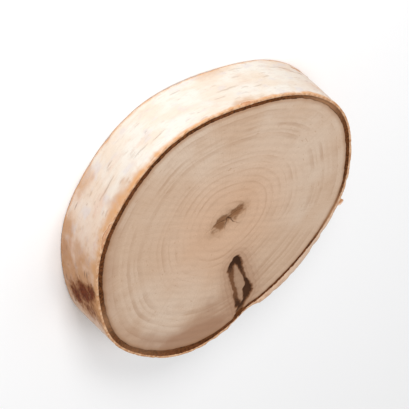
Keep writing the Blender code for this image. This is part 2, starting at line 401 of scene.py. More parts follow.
# Rows from the pith outwards: from, to and spacing in millimetres
UPPER_STEPS = ((0.0, 6.5, 0.2), (6.5, 12.5, 0.4), (12.5, 33.0, 0.21), (33.0, 34.9, 0.16))
LOWER_STEPS = ((0.0, 6.5, 0.3), (6.5, 33.0, 0.9), (33.0, 34.9, 0.3))
# Heading and pitch of the saw's ridges on each face
UPPER_SAW = (0.5, 1.9 * MM)
LOWER_SAW = (2.1, 2.3 * MM)
# Depths of the relief below the sawn level
SAW_DEPTH = 0.04 * MM
FUZZ_DEPTH = 0.03 * MM
PITH_DEPTH = 0.40 * MM
CHECK_DEPTH = 0.60 * MM
KNOT_DEPTH = 0.50 * MM
EDGE_DROP = 0.12 * MM
# The gap to the knot that stands for none, on the face that the knot doesn't reach
FAR_FROM_KNOT = 20.0 * MM


def growth(x, y, from_pith):
    """The growth that each place stands for, in metres from the pith, pushed outwards at the knot."""
    spots = np.stack([x, y, 0 * x], -1)
    reach = np.hypot(x - KNOT_MIDDLE[0], (y - KNOT_MIDDLE[1]) / KNOT_STRETCH)
    bulge = np.exp(-((reach / KNOT_PUSH_SPREAD) ** 2))
    return from_pith - KNOT_PUSH * bulge + 0.5 * MM * noise_at(spots, 11.0 * MM, 6.0)


def make_face(steps, angle, saw, has_knot):
    """Places in plan, depth below the sawn level, and the marks of one sawn face."""
    shares = shares_of_face(steps)
    x, y = face_grid(shares, angle)
    spots = np.stack([x, y, 0 * x], -1)
    from_pith = shares[:, None] * RING_RADIUS + 0.0 * x
    pith, halo, checks = pith_marks(x, y)
    knot_line, knot, stain, knot_gap = knot_marks(x, y)
    if not has_knot:
        knot_line, knot = 0.0 * knot_line, 0.0 * knot
        stain, knot_gap = 0.3 * stain, 0.0 * knot_gap + FAR_FROM_KNOT
    fuzz = 1.0 + noise_at(spots, 1.1 * MM, 2.0, 2)
    depth = SAW_DEPTH * saw_marks(x, y, *saw) + FUZZ_DEPTH * fuzz
    depth += PITH_DEPTH * pith + CHECK_DEPTH * checks + KNOT_DEPTH * knot_line
    depth += EDGE_DROP * smooth_step(34.3 * MM, 34.95 * MM, from_pith)
    marks = {
        "grown": growth(x, y, from_pith) / MM,
        "from_pith": from_pith / MM,
        "pith": pith,
        "halo": halo,
        "checks": checks,
        "knot_line": knot_line,
        "knot": knot,
        "knot_gap": knot_gap / MM,
        "stain": stain,
        "warm": warm_patches(x, y, from_pith),
    }
    return np.stack([x - CENTRE[0], y - CENTRE[1]], -1), depth, marks


def make_wood(material):
    """Both sawn faces and the edge between them, hidden behind the bark."""
    spread = math.radians(WOOD_CROWD_SPREAD)
    angle = graded_angles(WOOD_TURNS, math.radians(SCAR_ANGLE), spread, WOOD_CROWDING)
    upper, upper_depth, upper_marks = make_face(UPPER_STEPS, angle, UPPER_SAW, True)
    lower, lower_depth, lower_marks = make_face(LOWER_STEPS, angle, LOWER_SAW, False)
    upper = np.concatenate([upper, THICKNESS - upper_depth[..., None]], -1)
    lower = np.concatenate([lower, lower_depth[..., None]], -1)
    points = np.concatenate([upper, lower[::-1]])
    marks = {key: np.concatenate([upper_marks[key], lower_marks[key][::-1]]) for key in upper_marks}
    pole = np.array(CHECK_CENTRE) - CENTRE
    first = [*pole, THICKNESS - upper_depth[0].mean()]
    last = [*pole, lower_depth[0].mean()]
    return grid_object("sawn_wood", points, marks, material, first_pole=first, last_pole=last)


# Bark


# The dark ring: how far it goes under its neighbours, how far it lies below the sawn level, and crumbs
RING_LAP_INSIDE = 0.15 * MM
RING_LAP_OUTSIDE = 0.12 * MM
RING_DROP = 0.12 * MM
RING_HOLLOW = 0.16 * MM
CRUMB_HEIGHT = 0.11 * MM
# The papery bark's sawn rims: bevel, deepest bites, and where its rows lie from the ring to the side
RIM_BEVEL = 0.16 * MM
RIM_BITE = 0.32 * MM
RIM_SHARES = (0.0, 0.3, 0.6, 0.85)
BARK_LAP = 0.05 * MM
# Relief of its side, inwards from its smooth outer size
BARK_SINK = 0.16 * MM
WRINKLE_HEIGHT = 0.06 * MM
LENTICEL_HEIGHT = 0.14 * MM
SLIT_DEPTH = 0.12 * MM
TEAR_DEPTH = 0.18 * MM
LENTICELS = 170
OCHRE_SPOTS_AT_RANDOM = 16


def bites(angle, seed):
    """Noise above 0 only, which bites into a sawn rim here and there."""
    coarse = noise_at(on_rim(angle, 0.0 * angle), 2.6 * MM, seed, 2)
    fine = noise_at(on_rim(angle, 0.0 * angle), 0.7 * MM, seed + 5.0, 2)
    return np.maximum(0.0, coarse) + 0.35 * np.maximum(0.0, fine)


def make_inner_bark(material):
    """The dark crumbly ring between wood and papery bark."""
    angle = np.linspace(0.0, 2 * math.pi, HOOP_TURNS, endpoint=False)
    ring = RING_RADIUS * outline(angle)
    inner = ring - ring_width_inside(angle) - RING_LAP_INSIDE
    outer = ring + RING_WIDTH / 2 + RING_LAP_OUTSIDE
    rows = []
    for side in (1.0, -1.0):
        order = range(RING_COLUMNS) if side > 0 else reversed(range(RING_COLUMNS))
        for column in order:
            share = column / (RING_COLUMNS - 1)
            radius = inner + (outer - inner) * share
            spots = on_rim(angle, column * 0.17 * MM + 0.0 * angle)
            crumbs = noise_at(spots, 0.55 * MM, 3.0 + side, 3)
            drop = RING_DROP + RING_HOLLOW * math.sin(math.pi * share) + CRUMB_HEIGHT * (0.6 + crumbs)
            height = THICKNESS - drop if side > 0 else drop
            x, y = radius * np.cos(angle) - CENTRE[0], radius * np.sin(angle) - CENTRE[1]
            rows.append(np.stack([x, y, height], -1))
    marks = {"pale": np.tile(bumps_round(angle, RING_PALER), (len(rows), 1))}
    return grid_object("inner_bark", np.array(rows), marks, material, closed=True)


def make_lenticels(draw):
    """Corky dashes that run round the bark: angle, height, half length and half rise."""
    dashes = []
    for _ in range(LENTICELS):
        half_length = MM * min(3.6, draw.lognormvariate(-0.25, 0.6))
        half_rise = draw.uniform(0.14, 0.24) * MM * (0.8 + 0.3 * half_length / MM) ** 0.5
        height = draw.uniform(0.04, 0.96) * THICKNESS
        dashes.append((draw.uniform(0.0, 2 * math.pi), height, half_length, half_rise))
    return dashes


# Torn patches of the papery bark: angle, height, half length and half rise
PATCHES = (
    (34.0, 6.0 * MM, 6.5 * MM, 2.3 * MM),
    (116.5, 10.2 * MM, 8.0 * MM, 2.5 * MM),
    (146.0, 3.5 * MM, 5.5 * MM, 1.7 * MM),
    (303.0, 12.9 * MM, 4.2 * MM, 0.8 * MM),
    (229.0, 12.9 * MM, 2.4 * MM, 0.8 * MM),
    (184.0, 1.4 * MM, 3.0 * MM, 0.8 * MM),
    (92.0, 3.0 * MM, 5.0 * MM, 1.5 * MM),
    (5.0, 3.0 * MM, 5.0 * MM, 1.0 * MM),
)
# Dark stain spots on it: angle, height, half length, half rise and strength. The four from 332.5 to
# 346 degrees are partly real brown bark and partly painted shade on the side turned from the light.
STAIN_AND_SHADE_SPOTS = (
    (332.5, 10.8 * MM, 3.2 * MM, 2.0 * MM, 0.9),
    (337.0, 7.8 * MM, 4.4 * MM, 3.2 * MM, 1.05),
    (343.5, 4.4 * MM, 4.6 * MM, 2.6 * MM, 0.95),
    (346.0, 8.5 * MM, 5.0 * MM, 6.0 * MM, 0.60),
    (SCAR_ANGLE, 11.0 * MM, 4.6 * MM, 4.6 * MM, 1.0),
    (62.0, 6.4 * MM, 5.5 * MM, 1.0 * MM, 0.7),
    (81.0, 5.8 * MM, 5.5 * MM, 0.9 * MM, 0.7),
    (18.0, 1.2 * MM, 6.0 * MM, 1.3 * MM, 0.5),
    (160.0, 11.4 * MM, 4.0 * MM, 0.9 * MM, 0.5),
)
# Soft ochre and brown spots on it: angle, height, half length, half rise and strength. The last two,
# at 336 and 337 degrees, are partly the bark's own brown and partly painted shade on the side turned
# from the light.
OCHRE_SPOTS = (
    (229.0, 12.4 * MM, 4.0 * MM, 1.5 * MM, 0.60),
    (231.0, 0.8 * MM, 4.0 * MM, 1.6 * MM, 0.35),
    (288.0, 12.2 * MM, 6.0 * MM, 2.4 * MM, 0.60),
    (293.0, 1.2 * MM, 3.2 * MM, 2.2 * MM, 0.55),
    (318.0, 7.5 * MM, 3.2 * MM, 6.0 * MM, 0.62),
    (311.0, 1.0 * MM, 3.6 * MM, 2.6 * MM, 0.75),
    (323.0, 2.0 * MM, 6.0 * MM, 2.8 * MM, 0.85),
    (337.0, 11.6 * MM, 8.0 * MM, 3.0 * MM, 1.00),
    (336.0, 6.0 * MM, 13.0 * MM, 9.0 * MM, 0.80),
)
# Its broad tones, each with the middle and the spread in degrees: cream, tan and the pale sawn rim.
# The tan side, turned from the key light, is partly the bark's own tan and partly painted shade.
CREAM_SIDE = (240.0, 52.0)
TAN_SIDE = (338.0, 28.0)
PALE_RIM = (102.0, 26.0)
# Its tan fringe: widths at the rims, and where the upper one is wider and by how much
FRINGE_UPPER = 0.9 * MM
FRINGE_LOWER = 0.8 * MM
FRINGE_WIDE_SIDE = (300.0, 30.0)
FRINGE_WIDER = 2.6 * MM


def inside_spot(angle, height, spot):
    """1 in the middle of a spot, 0 on its edge and below 0 outside."""
    along = turn_between(angle, math.radians(spot[0])) * RING_RADIUS / spot[2]
    return 1.0 - np.hypot(along, (height - spot[1]) / spot[3])


def bark_marks(angle, height, dashes):
    """The bark's lenticels and their slits from 0 to 1, then how far inside a tear, and how far inside
    a stain or a spot of painted shade.
    """
    spots = on_rim(angle, height)
    flat = spots * np.array([1.0, 1.0, 2.2])
    lenticels = np.zeros_like(angle)
    slits = np.zeros_like(angle)
    for dash_angle, dash_height, half_length, half_rise in dashes:
        along = turn_between(angle, dash_angle) * RING_RADIUS / half_length
        near = np.abs(along) < 1.1
        level_spots = spots[near] * np.array([1.0, 1.0, 0.0])
        lift = 0.25 * MM * noise_at(level_spots, 2.0 * MM, dash_height / MM)
        across = (height[near] - dash_height + lift) / half_rise
        body = np.clip(1.0 - along[near] ** 4 - across ** 2, 0.0, 1.0)
        lenticels[near] = np.maximum(lenticels[near], body)
        if half_length > 1.2 * MM:
            slit = np.clip(1.0 - along[near] ** 2 - (across / 0.5) ** 2, 0.0, 1.0)
            slits[near] = np.maximum(slits[near], slit)
    torn = np.full_like(angle, -1.0)
    ragged = noise_at(spots * np.array([0.5, 0.5, 2.6]), 2.4 * MM, 8.8, 4)
    for patch in PATCHES:
        torn = np.maximum(torn, inside_spot(angle, height, patch) - 0.50 * ragged)
    stain_and_shade = np.full_like(angle, -1.0)
    soft = noise_at(flat, 1.5 * MM, 3.3, 3)
    for stain in STAIN_AND_SHADE_SPOTS:
        inside = stain[4] * (inside_spot(angle, height, stain) + 0.6) - 0.6
        stain_and_shade = np.maximum(stain_and_shade, inside - 0.3 * soft)
    return lenticels, slits, torn, stain_and_shade


def tan_share(angle):
    """How warm the bark is at each angle: cream on one side, tan beside it, in between elsewhere. The
    tan is partly the bark's own and partly painted shade on the side turned from the key light.
    """
    middle, spread = np.radians(CREAM_SIDE)
    cream = np.exp(-((turn_between(angle, middle) / spread) ** 4))
    return (1.0 - cream) * (0.45 + 0.55 * bump_round(angle, *TAN_SIDE))


def ochre_share(angle, height):
    """Where the bark is more ochre and brown: soft ragged spots, and more of them at random. The
    listed spots at 336 and 337 degrees are partly painted shade.
    """
    spots = on_rim(angle, height) * np.array([1.0, 1.0, 1.6])
    ragged = noise_at(spots, 3.0 * MM, 41.0, 3)
    draw = random.Random(SEED + 2)
    share = np.zeros_like(angle)

    def soft_spot(spot):
        return smooth_step(-0.5, 0.7, inside_spot(angle, height, spot) + 0.5 * ragged)

    for spot in OCHRE_SPOTS:
        share = np.maximum(share, spot[4] * soft_spot(spot))
    for _ in range(OCHRE_SPOTS_AT_RANDOM):
        place = (draw.uniform(0.0, 200.0), draw.uniform(0.0, 1.0) * THICKNESS)
        size = (draw.uniform(2.0, 6.0) * MM, draw.uniform(0.8, 2.6) * MM)
        strength = draw.uniform(0.25, 0.7)
        share = np.maximum(share, strength * soft_spot((*place, *size)))
    return share


def fringe_share(angle, height):
    """The tan fringe along both sawn rims, widest on the upper rim of one side."""
    ragged = 1.0 + 0.5 * noise_at(on_rim(angle, 0.2 * height), 2.2 * MM, 17.0, 3)
    width = (FRINGE_UPPER + FRINGE_WIDER * bump_round(angle, *FRINGE_WIDE_SIDE)) * ragged
    upper = 1.0 - smooth_step(0.2, 1.0, (THICKNESS - height) / width)
    lower = 1.0 - smooth_step(0.2, 1.0, height / (FRINGE_LOWER * ragged))
    return np.maximum(upper, 0.8 * lower)


def bark_dent(angle, height, lenticels, slits, torn):
    """How far the papery bark's surface lies inside its smooth outer size."""
    spots = on_rim(angle, height)
    swell = BARK_SWELL * (0.5 - 0.5 * noise_at(spots, BARK_SWELL_SIZE, np.array([0.0, 0.0, 3.7])))
    wrinkles = noise_at(spots * np.array([1.0, 1.0, 5.0]), 4.0 * MM, 12.0, 4)
    dent = swell + BARK_SINK + WRINKLE_HEIGHT * wrinkles
    dent -= LENTICEL_HEIGHT * lenticels
    dent += SLIT_DEPTH * slits + TEAR_DEPTH * smooth_step(0.08, 0.24, torn)
    along = turn_between(angle, math.radians(SCAR_ANGLE)) * RING_RADIUS / SCAR_HALF_LENGTH
    across = (height - THICKNESS) / SCAR_HALF_RISE
    return dent + SCAR_DEPTH * np.clip(1.0 - along ** 2 - across ** 2, 0.0, 1.0) ** 0.5


def make_outer_bark(material):
    """The papery bark: its outer side in full relief, its two sawn rims and the hidden inner side."""
    dashes = make_lenticels(random.Random(SEED))
    turns = np.linspace(0.0, 2 * math.pi, HOOP_TURNS, endpoint=False)
    angle, height = np.meshgrid(turns, np.linspace(THICKNESS - RIM_BEVEL, RIM_BEVEL, BARK_ROWS))
    lenticels, slits, torn, stain_and_shade = bark_marks(angle, height, dashes)
    ring = RING_RADIUS * outline(turns)
    dent = bark_dent(angle, height, lenticels, slits, torn)
    hidden = ring + RING_WIDTH / 2 - BARK_LAP
    side_radius = np.maximum(bark_edge(turns) - dent, hidden + 0.06 * MM)
    upper_bite = RIM_BITE * bites(turns, 9.1) + 0.03 * MM
    lower_bite = RIM_BITE * bites(turns, 19.4) + 0.03 * MM
    near_top = smooth_step(THICKNESS - 1.2 * MM, THICKNESS, height)
    near_bottom = 1.0 - smooth_step(0.0, 1.2 * MM, height)
    side_height = height - near_top * upper_bite + near_bottom * lower_bite
    inner = ring + RING_WIDTH / 2 + 0.05 * MM * noise_at(on_rim(turns, 0 * turns), 1.2 * MM, 2.7, 2)
    rows = []
    for share in RIM_SHARES:
        level = THICKNESS - upper_bite * (0.4 + 0.6 * share) - 0.02 * MM
        rows.append((inner + (side_radius[0] - inner) * share, level))
    rows += list(zip(side_radius, side_height))
    for share in reversed(RIM_SHARES):
        level = lower_bite * (0.4 + 0.6 * share) + 0.02 * MM
        rows.append((inner + (side_radius[-1] - inner) * share, level))
    rows.append((hidden, lower_bite + 0.6 * MM))
    rows.append((hidden, THICKNESS - upper_bite - 0.6 * MM))
    points = np.array([
        np.stack([radius * np.cos(turns) - CENTRE[0], radius * np.sin(turns) - CENTRE[1], level], -1)
        for radius, level in rows
    ])
    before = len(RIM_SHARES)
    after = before + 2

    def with_rims(field):
        first, last = np.repeat(field[:1], before, 0), np.repeat(field[-1:], after, 0)
        return np.concatenate([first, field, last])

    rim = np.concatenate([np.ones(before), np.zeros(BARK_ROWS), np.ones(after)])
    marks = {
        "rim": np.tile(rim[:, None], (1, HOOP_TURNS)),
        "pale_rim": np.tile(bump_round(turns, *PALE_RIM), (len(rows), 1)),
        "lenticel": with_rims(lenticels),
        "slit": with_rims(slits),
        "torn": with_rims(torn),
        "stain": with_rims(stain_and_shade),
        "fringe": with_rims(fringe_share(angle, height)),
        "warmth": with_rims(tan_share(angle)),
        "ochre": with_rims(ochre_share(angle, height)),
    }
    return grid_object("papery_bark", points, marks, material, closed=True)


# Curls of paper bark, each rolled back over its torn patch: angle of its root, length, and where it
# begins and ends in height. A length below 0 rolls towards lower angles.
CURLS = (
    (26.5, 5.2 * MM, 4.4 * MM, 7.7 * MM),
    (125.0, -6.6 * MM, 8.3 * MM, 12.2 * MM),
    (152.0, -4.6 * MM, 2.3 * MM, 4.7 * MM),
)
CURL_THICKNESS = 0.12 * MM
CURL_ROOT = 0.45 * MM
CURL_STEP = 0.16 * MM
CURL_LIFT = 0.45
CURL_TURN = 8.4
SCROLL_STEPS = 80


def scroll():
    """A strip's path for a length of 1, rolling up as it goes: along the bark, and off it."""
    share = np.linspace(0.0, 1.0, SCROLL_STEPS + 1)
    heading = CURL_LIFT + CURL_TURN * share ** 1.4
    along = np.concatenate([[0.0], np.cumsum(np.cos(heading[1:]))]) / SCROLL_STEPS
    off = np.concatenate([[0.0], np.cumsum(np.sin(heading[1:]))]) / SCROLL_STEPS
    return share, along, off


def make_curls(outside, inside):
    """Thin ragged strips of bark, rooted at one end and rolled up off the side."""
    draw = random.Random(SEED + 1)
    stops, along, off = scroll()
    vertices, faces = [], []
    for start, length, low, high in CURLS:
        steps = int(abs(length) / CURL_STEP)
        columns = int((high - low) / CURL_STEP)
        base = len(vertices)
        shift = draw.uniform(0.0, 50.0)
        slant = draw.uniform(-0.35, 0.35)
        for i in range(steps + 1):
            share = i / steps
            for j in range(columns + 1):
                across = j / columns - 0.5
                edge = noise.fractal((share * 4.0, 5.0 * (across > 0), shift), 1.0, 2.0, 4)
                end = 1.0 - 0.22 * abs(noise.fractal((across * 6.0, 20.0, shift), 1.0, 2.0, 4))
                size = abs(length) * (1.0 + slant * across)
                reach = size * float(np.interp(share * end, stops, along))
                rise = size * float(np.interp(share * end, stops, off))
                crumple = 0.05 * MM * noise.noise((share * 5.0, across * 4.0, shift)) * share
                angle = math.radians(start) + math.copysign(reach, length) / RING_RADIUS
                radius = float(bark_edge(angle)) - CURL_ROOT + rise + crumple
                width = (high - low) * (1.0 - 0.25 * share) * (1.0 + 0.28 * edge)
                height = (low + high) / 2 + across * width + 0.4 * MM * slant * share
                x, y = radius * math.cos(angle) - CENTRE[0], radius * math.sin(angle) - CENTRE[1]
                vertices.append((x, y, height))
        for i in range(steps):
            for j in range(columns):
                a = base + i * (columns + 1) + j
                b = a + columns + 1
                faces.append((a, b, b + 1, a + 1) if length > 0 else (a, a + 1, b + 1, b))
    mesh = bpy.data.meshes.new("bark_curls")
    mesh.from_pydata(vertices, [], faces)
    mesh.materials.append(outside)
    mesh.materials.append(inside)
    mesh.shade_smooth()
    piece = bpy.data.objects.new("bark_curls", mesh)
    bpy.context.scene.collection.objects.link(piece)
    solidify = piece.modifiers.new("Thickness", "SOLIDIFY")
    solidify.thickness = CURL_THICKNESS
    solidify.offset = -1.0
    solidify.material_offset = 1
    solidify.material_offset_rim = 1
    return piece


# Materials


def colour(red, green, blue):
    """A colour given as screen values from 0 to 255, as the linear values that a shader takes."""
    linear = []
    for value in (red, green, blue):
        share = value / 255.0
        linear.append(share / 12.92 if share <= 0.04045 else ((share + 0.055) / 1.055) ** 2.4)
    return (*linear, 1.0)


class Nodes:
    """Short calls for the nodes that the materials share."""

    def __init__(self, name, roughness, shine=0.18):
        self.material = bpy.data.materials.new(name)
        self.material.use_nodes = True
        self.tree = self.material.node_tree
        self.shader = self.tree.nodes["Principled BSDF"]
        self.shader.inputs["Roughness"].default_value = roughness
        self.shader.inputs["Specular IOR Level"].default_value = shine
        self.place = self.tree.nodes.new("ShaderNodeTexCoord").outputs["Object"]

    def link(self, value, socket):
        """Sets a socket to another node's output, or to a plain value."""
        if isinstance(value, bpy.types.NodeSocket):
            self.tree.links.new(value, socket)
        else:
            socket.default_value = value

    def mark(self, name):
        """One of the mesh's own fields."""
        node = self.tree.nodes.new("ShaderNodeAttribute")
        node.attribute_name = name
        return node.outputs["Fac"]

    def maths(self, operation, first, second=0.0):
        node = self.tree.nodes.new("ShaderNodeMath")
        node.operation = operation
        self.link(first, node.inputs[0])
        self.link(second, node.inputs[1])
        return node.outputs[0]

    def times(self, first, second):
        return self.maths("MULTIPLY", first, second)

    def plus(self, first, second):
        return self.maths("ADD", first, second)

    def swing(self, share, size):
        """A share from 0 to 1 as a swing to both sides of 0."""
        return self.times(self.maths("SUBTRACT", share, 0.5), size)

    def vector_maths(self, operation, first, second=(0.0, 0.0, 0.0)):
        node = self.tree.nodes.new("ShaderNodeVectorMath")
        node.operation = operation
        self.link(first, node.inputs[0])
        self.link(second, node.inputs[1])
        return node.outputs["Vector"]

    def upright(self, height):
        """A vector that has only a height."""
        node = self.tree.nodes.new("ShaderNodeCombineXYZ")
        self.link(height, node.inputs["Z"])
        return node.outputs[0]

    def stretched(self, vector, scale=(1.0, 1.0, 1.0), shift=(0.0, 0.0, 0.0)):
        node = self.tree.nodes.new("ShaderNodeMapping")
        self.link(vector, node.inputs["Vector"])
        node.inputs["Scale"].default_value = scale
        node.inputs["Location"].default_value = shift
        return node.outputs["Vector"]

    def noise(self, vector, size, detail=2.0, roughness=0.5):
        """Noise from 0 to 1 whose patches are about that size."""
        node = self.tree.nodes.new("ShaderNodeTexNoise")
        self.link(vector, node.inputs["Vector"])
        node.inputs["Scale"].default_value = 1.0 / size
        node.inputs["Detail"].default_value = detail
        node.inputs["Roughness"].default_value = roughness
        return node.outputs["Fac"]

    def noise_along(self, value, size):
        """Noise from 0 to 1 that changes with one number only."""
        node = self.tree.nodes.new("ShaderNodeTexNoise")
        node.noise_dimensions = "1D"
        self.link(value, node.inputs["W"])
        node.inputs["Scale"].default_value = 1.0 / size
        return node.outputs["Fac"]

    def chance(self, number):
        """A steady random share for each whole number."""
        node = self.tree.nodes.new("ShaderNodeTexWhiteNoise")
        node.noise_dimensions = "1D"
        self.link(number, node.inputs["W"])
        return node.outputs["Value"]

    def between(self, value, low, high, top=1.0):
        """0 below low, top above high, with a soft rise between."""
        node = self.tree.nodes.new("ShaderNodeMapRange")
        node.interpolation_type = "SMOOTHSTEP"
        self.link(value, node.inputs["Value"])
        node.inputs["From Min"].default_value = low
        node.inputs["From Max"].default_value = high
        node.inputs["To Max"].default_value = top
        return node.outputs["Result"]

    def without(self, value):
        return self.maths("SUBTRACT", 1.0, value)

    def mix(self, share, first, second):
        node = self.tree.nodes.new("ShaderNodeMix")
        node.data_type = "RGBA"
        self.link(share, node.inputs[0])
        self.link(first, node.inputs[6])
        self.link(second, node.inputs[7])
        return node.outputs[2]

    def finish(self, base, heights):
        """Joins colour and bumps to the shader. Each bump is (height, strength, distance)."""
        self.link(base, self.shader.inputs["Base Color"])
        normal = None
        for height, strength, distance in heights:
            bump = self.tree.nodes.new("ShaderNodeBump")
            bump.inputs["Strength"].default_value = strength
            bump.inputs["Distance"].default_value = distance
            self.link(height, bump.inputs["Height"])
            if normal is not None:
                self.link(normal, bump.inputs["Normal"])
            normal = bump.outputs["Normal"]
        if normal is not None:
            self.link(normal, self.shader.inputs["Normal"])
        return self.material


def wood_material():
    """Sawn birch: faint uneven growth rings, fine rays, a warmer heart, brown pith and knot."""
    n = Nodes("sawn_birch", 0.78, 0.06)
    place = n.place
    from_pith = n.mark("from_pith")
    grown = n.mark("grown")
    medium = n.noise(place, 6 * MM, 3.0)
    broad = n.between(n.noise(place, 20 * MM, 2.0), 0.36, 0.64)
    base = n.mix(broad, colour(206, 184, 164), colour(198, 170, 146))
    heart = n.without(n.between(from_pith, 5.0, 26.0))
    base = n.mix(n.times(heart, 0.80), base, colour(204, 167, 138))
    base = n.mix(n.between(medium, 0.48, 0.76, 0.40), base, colour(192, 162, 137))

    drift = n.times(n.noise_along(grown, 4.5), 2.6)
    phase = n.plus(n.times(grown, 0.52), drift)
    part = n.maths("FRACT", phase)
    late = n.times(n.between(part, 0.45, 0.93), n.without(n.between(part, 0.93, 1.0)))
    luck = n.between(n.chance(n.maths("FLOOR", phase)), 0.1, 1.0, 0.30)
    patchy = n.between(n.noise(place, 8 * MM, 2.0), 0.30, 0.65)
    late = n.times(n.times(late, patchy), n.plus(luck, 0.06))
    base = n.mix(late, base, colour(150, 110, 80))

    heading = n.vector_maths("NORMALIZE", n.vector_maths("MULTIPLY", place, (1.0, 1.0, 0.0)))
    rays = n.noise(n.vector_maths("ADD", heading, place), 0.011, 2.0)
    base = n.mix(n.between(rays, 0.52, 0.80, 0.22), base, colour(164, 131, 103))
    turned = n.vector_maths(
        "ADD", n.stretched(heading, (14.0, 14.0, 0.0)), n.upright(n.times(grown, 2.6))
    )
    fleck = n.noise(turned, 0.9, 1.0)
    base = n.mix(n.between(fleck, 0.70, 0.78, 0.42), base, colour(152, 106, 73))
    grain = n.noise(place, 0.35 * MM, 4.0, 0.7)
    base = n.mix(n.between(grain, 0.38, 0.75, 0.26), base, colour(162, 128, 100))

    base = n.mix(n.times(n.mark("warm"), 0.78), base, colour(150, 110, 84))
    base = n.mix(n.times(n.mark("stain"), 0.60), base, colour(154, 114, 87))
    gap_phase = n.maths("FRACT", n.times(n.mark("knot_gap"), 0.9))
    gap_rings = n.times(n.between(gap_phase, 0.4, 0.95), n.times(n.mark("stain"), 0.24))
    base = n.mix(gap_rings, base, colour(128, 88, 60))
    base = n.mix(n.times(n.mark("knot"), 0.55), base, colour(146, 112, 88))
    crumbly = n.plus(n.times(n.noise(place, 0.45 * MM, 3.0, 0.6), 0.7), 0.65)
    line = n.times(n.mark("knot_line"), crumbly)
    base = n.mix(n.between(line, 0.03, 0.45), base, colour(118, 80, 54))
    core = n.mix(medium, colour(48, 28, 16), colour(76, 48, 31))
    base = n.mix(n.between(line, 0.35, 0.80), base, core)
    base = n.mix(n.times(n.mark("halo"), 0.75), base, colour(146, 108, 76))
    pith = n.plus(n.mark("pith"), n.swing(medium, 0.35))
    base = n.mix(n.between(pith, 0.0, 0.75, 0.80), base, colour(122, 82, 52))
    base = n.mix(n.between(n.mark("checks"), 0.15, 0.8, 0.70), base, colour(92, 62, 42))
    base = n.mix(n.between(from_pith, 33.4, 34.9, 0.6), base, colour(152, 111, 80))
    height = n.plus(grain, n.times(part, 0.6))
    return n.finish(base, [(height, 0.30, 0.08 * MM), (rays, 0.25, 0.10 * MM)])


def inner_bark_material():
    """Dark red-brown crumbly bark, paler in places."""
    n = Nodes("inner_bark", 0.85, 0.08)
    crumbs = n.noise(n.place, 0.7 * MM, 4.0, 0.7)
    broad = n.noise(n.place, 5 * MM, 2.0)
    base = n.mix(n.between(crumbs, 0.3, 0.75), colour(55, 28, 12), colour(122, 72, 35))
    base = n.mix(n.between(broad, 0.5, 0.75, 0.6), base, colour(112, 64, 38))
    base = n.mix(n.times(n.mark("pale"), 0.75), base, colour(170, 128, 94))
    return n.finish(base, [(crumbs, 0.6, 0.25 * MM)])


def bark_colour(n, place, warmth):
    """Cream paper with pinkish, ochre and grey blotches, streaked round the slice."""
    lying = n.stretched(place, (1.0, 1.0, 2.2))
    broad = n.between(n.noise(lying, 9 * MM, 2.0), 0.38, 0.62)
    base = n.mix(broad, colour(229, 223, 213), colour(227, 213, 197))
    base = n.mix(n.times(warmth, 0.85), base, colour(229, 190, 163))
    pink = n.between(n.noise(lying, 5 * MM, 3.0, 0.6), 0.50, 0.74)
    amount = n.times(pink, n.plus(n.times(warmth, 0.35), 0.20))
    base = n.mix(amount, base, colour(213, 168, 148))
    ochre = n.noise(n.stretched(lying, shift=(7.0, 2.0, 5.0)), 3.4 * MM, 3.0, 0.6)
    amount = n.times(n.between(ochre, 0.54, 0.74), n.plus(n.times(warmth, 0.40), 0.12))
    base = n.mix(amount, base, colour(200, 156, 104))
    grey = n.noise(n.stretched(lying, shift=(1.0, 9.0, 3.0)), 4.5 * MM, 2.0)
    base = n.mix(n.between(grey, 0.54, 0.70, 0.45), base, colour(214, 205, 206))
    fleck = n.noise(n.stretched(lying, shift=(4.0, 4.0, 4.0)), 1.1 * MM, 3.0, 0.65)
    amount = n.plus(n.times(warmth, 0.30), 0.16)
    amount = n.times(n.between(fleck, 0.60, 0.76), amount)
    base = n.mix(amount, base, colour(176, 126, 96))
    streaks = n.noise(n.stretched(place, (1.0, 1.0, 9.0)), 2.6 * MM, 4.0, 0.65)
    return n.mix(n.between(streaks, 0.52, 0.78, 0.28), base, colour(192, 156, 128)), streaks


